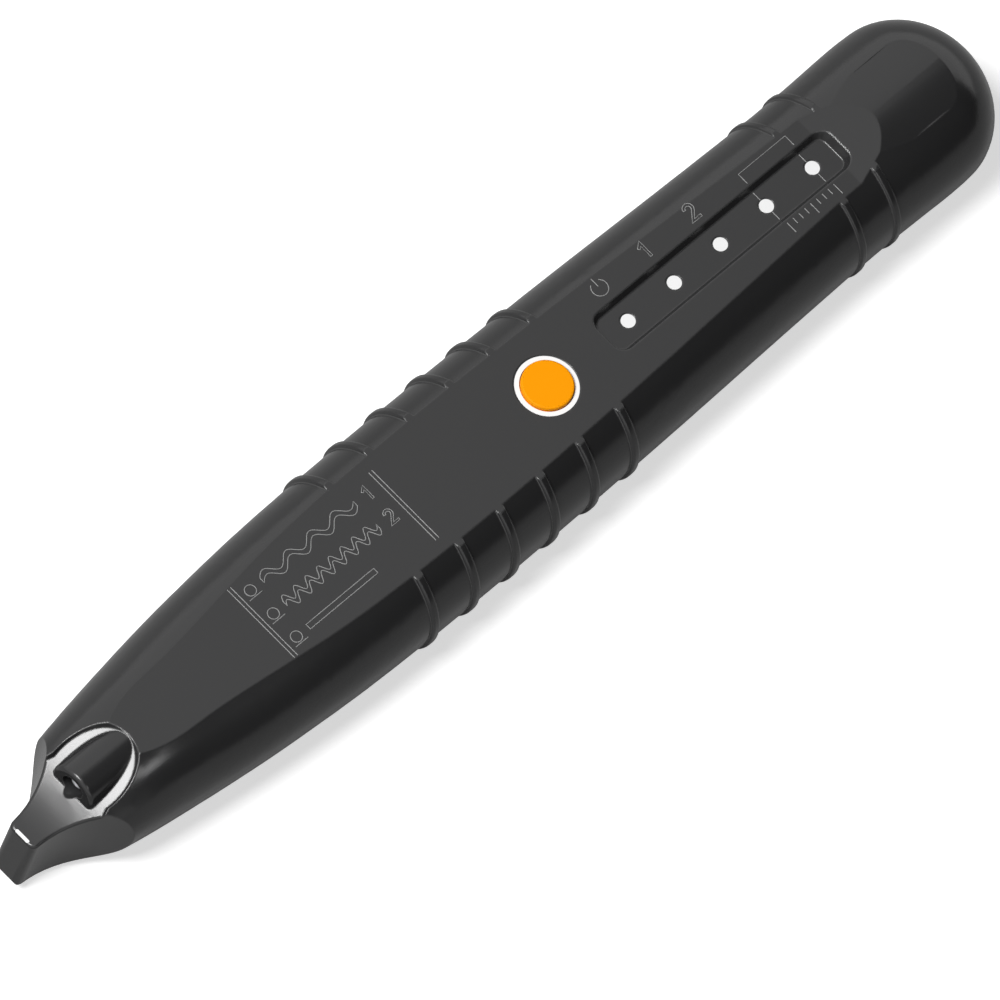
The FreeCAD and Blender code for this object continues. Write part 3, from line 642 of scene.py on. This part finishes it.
class TESTER_OT_tip_highlight(bpy.types.Operator):
    """Lay a short white strip across the top of the tip, just proud of the plastic: a painted highlight of the
    tip's edge
    """

    bl_idname = "tester.tip_dash"
    bl_label = "Paint the tip's edge highlight"

    rise = 0.03 * MM

    def execute(self, context):
        sizes = context.scene.tester_marks
        radius = sizes.tip_highlight_width / 2
        x = node_box("upper_housing")[0].x + sizes.tip_highlight_start + radius
        outline = []
        for y, first in ((sizes.tip_highlight_half - radius, 0), (radius - sizes.tip_highlight_half, math.pi)):
            outline += arc_points((x, y, 0), radius, first, first + math.pi, TIP_HIGHLIGHT_END_STEPS + 1)
        count = len(outline)
        low = [(px, py, sizes.tip_height - self.rise) for px, py, _ in outline]
        high = [(px, py, sizes.tip_height + self.rise) for px, py, _ in outline]
        sides = [(i, (i + 1) % count, (i + 1) % count + count, i + count) for i in range(count)]
        mesh = bpy.data.meshes.new("tip_dash")
        mesh.from_pydata(low + high, [], [tuple(reversed(range(count))), tuple(range(count, 2 * count)), *sides])
        # painted highlight: the strip takes the ring's white to stand in for the glint on the tip's edge
        white = plastic("tip_highlight_paint", context.scene.tester_finish.bezel_colour, 0.4, 0.0, 0.05 * MM, mottle=0.01)
        mount_mark("tip_dash", mesh, white)
        return {"FINISHED"}


# ---------------------------------------------------------------- operator: stage
class TESTER_OT_studio(bpy.types.Operator):
    """Set the floor, the softboxes, the black flag, the room's light and the camera"""

    bl_idname = "tester.studio"
    bl_label = "Set the studio"

    def execute(self, context):
        studio = context.scene.tester_studio
        centre = Vector((0, 0, CAD_HIGH[2] / 2))
        self.floor(studio)
        self.room(context, studio)
        self.softbox("key_softbox", *KEY_BOX, studio.key_power, centre)
        self.flag(*BLACK_FLAG, centre)
        self.softbox("glint_softbox", *GLINT_BOX, studio.glint_power, centre)
        self.camera(context, studio)
        context.scene.view_settings.view_transform = "Standard"
        return {"FINISHED"}

    def sheet(self, name, corners, material):
        """A flat four-cornered stage piece."""
        mesh = bpy.data.meshes.new(name)
        mesh.from_pydata([tuple(corner) for corner in corners], [], [(0, 1, 2, 3)])
        piece = bpy.data.objects.new(name, mesh)
        bpy.context.scene.collection.objects.link(piece)
        mesh.materials.append(material)

    def matt(self, name, roughness):
        """A material without gloss, with its nodes, links and shader."""
        material = bpy.data.materials.new(name)
        material.use_nodes = True
        nodes, links = material.node_tree.nodes, material.node_tree.links
        shader = nodes["Principled BSDF"]
        shader.inputs["Roughness"].default_value = roughness
        shader.inputs["Specular IOR Level"].default_value = 0.0
        return material, nodes, links, shader

    def floor(self, studio):
        material, nodes, links, shader = self.matt("floor_paper", 0.9)
        seen = backdrop_rays(nodes, links, studio.floor_gloss)
        paper = nodes.new("ShaderNodeMix")
        paper.data_type = "RGBA"
        paper.inputs["A"].default_value = (FLOOR_UNSEEN, FLOOR_UNSEEN, FLOOR_UNSEEN, 1)
        paper.inputs["B"].default_value = (FLOOR_LIT, FLOOR_LIT, FLOOR_LIT, 1)
        links.new(seen, paper.inputs["Factor"])
        links.new(paper.outputs["Result"], shader.inputs["Base Color"])
        glow = nodes.new("ShaderNodeEmission")
        links.new(math_node(nodes, links, "MULTIPLY", seen, FLOOR_GLOW), glow.inputs["Strength"])
        both = nodes.new("ShaderNodeAddShader")
        links.new(shader.outputs[0], both.inputs[0])
        links.new(glow.outputs[0], both.inputs[1])
        links.new(both.outputs[0], nodes["Material Output"].inputs["Surface"])
        half = FLOOR_HALF
        self.sheet("floor", ((-half, -half, 0), (half, -half, 0), (half, half, 0), (-half, half, 0)), material)

    def flag(self, direction, distance, half, centre):
        """A black card beside the object, which the right flank mirrors instead of the white room."""
        material, _, _, shader = self.matt("flag_felt", 1.0)
        shader.inputs["Base Color"].default_value = (0.01, 0.01, 0.01, 1)
        away = direction.normalized()
        turn = away.to_track_quat("Z", "Y").to_matrix()
        place = centre + away * distance
        corners = [place + turn @ Vector((x * half, y * half, 0)) for x, y in ((-1, -1), (1, -1), (1, 1), (-1, 1))]
        self.sheet("flag", corners, material)

    def room(self, context, studio):
        world = bpy.data.worlds.new("room")
        context.scene.world = world
        world.use_nodes = True
        nodes, links = world.node_tree.nodes, world.node_tree.links
        shown = math_node(nodes, links, "MULTIPLY", backdrop_rays(nodes, links, 1.0), 1 - studio.ambient)
        nodes["Background"].inputs["Color"].default_value = (1, 1, 1, 1)
        links.new(math_node(nodes, links, "ADD", shown, studio.ambient), nodes["Background"].inputs["Strength"])

    def softbox(self, name, direction, distance, size, power, centre):
        data = bpy.data.lights.new(name, "AREA")
        data.shape = "SQUARE"
        data.size = size
        data.energy = power
        lamp = bpy.data.objects.new(name, data)
        bpy.context.scene.collection.objects.link(lamp)
        away = direction.normalized()
        lamp.location = centre + away * distance
        lamp.rotation_mode = "QUATERNION"
        lamp.rotation_quaternion = away.to_track_quat("Z", "Y")

    def camera(self, context, studio):
        a, e, r = studio.azimuth, studio.elevation, studio.roll
        back = Vector((math.sin(a) * math.cos(e), -math.cos(a) * math.cos(e), math.sin(e)))
        level_right = Vector((math.cos(a), math.sin(a), 0))
        right = level_right * math.cos(r) + back.cross(level_right) * math.sin(r)
        up = back.cross(right)
        data = bpy.data.cameras.new("camera")
        data.sensor_width = SENSOR_WIDTH
        data.lens = studio.lens
        data.clip_start = 0.1
        data.clip_end = 20.0
        camera = bpy.data.objects.new("camera", data)
        context.scene.collection.objects.link(camera)
        aim = Vector((CAMERA_SHIFT.x, CAMERA_SHIFT.y, face_level() / 2))
        place = aim + back * (studio.frame_width * studio.lens / SENSOR_WIDTH)
        camera.matrix_world = Matrix.Translation(place) @ Matrix((right, up, back)).transposed().to_4x4()
        context.scene.camera = camera


class TESTER_PT_panel(bpy.types.Panel):
    """Lists the tester's steps and settings"""

    bl_idname = "TESTER_PT_panel"
    bl_label = "Voltage tester"
    bl_space_type = "VIEW_3D"
    bl_region_type = "UI"
    bl_category = "Tester"

    def draw(self, context):
        for step in STEPS:
            self.layout.operator(step.bl_idname)
        for name, group in GROUPS:
            box = self.layout.box()
            for setting in group.__annotations__:
                box.prop(getattr(context.scene, name), setting)


GROUPS = (("tester_finish", TesterFinish), ("tester_marks", TesterMarks), ("tester_studio", TesterStudio))
STEPS = (TESTER_OT_housing, TESTER_OT_button, TESTER_OT_indicators, TESTER_OT_electronics, TESTER_OT_metalwork,
         TESTER_OT_window_numbers, TESTER_OT_reading_marks, TESTER_OT_legend, TESTER_OT_tip_highlight, TESTER_OT_studio)


def register():
    for name, group in GROUPS:
        bpy.utils.register_class(group)
        setattr(bpy.types.Scene, name, PointerProperty(type=group))
    for step in (*STEPS, TESTER_PT_panel):
        bpy.utils.register_class(step)


def unregister():
    for step in (*STEPS, TESTER_PT_panel):
        bpy.utils.unregister_class(step)
    for name, group in GROUPS:
        delattr(bpy.types.Scene, name)
        bpy.utils.unregister_class(group)


def main():
    register()
    bpy.ops.tester.housing()
    bpy.ops.tester.button()
    bpy.ops.tester.indicators()
    bpy.ops.tester.electronics()
    bpy.ops.tester.metalwork()
    bpy.ops.tester.window_numbers()
    bpy.ops.tester.reading_marks()
    bpy.ops.tester.legend()
    bpy.ops.tester.tip_dash()
    bpy.ops.tester.studio()


if __name__ == "__main__":
    main()
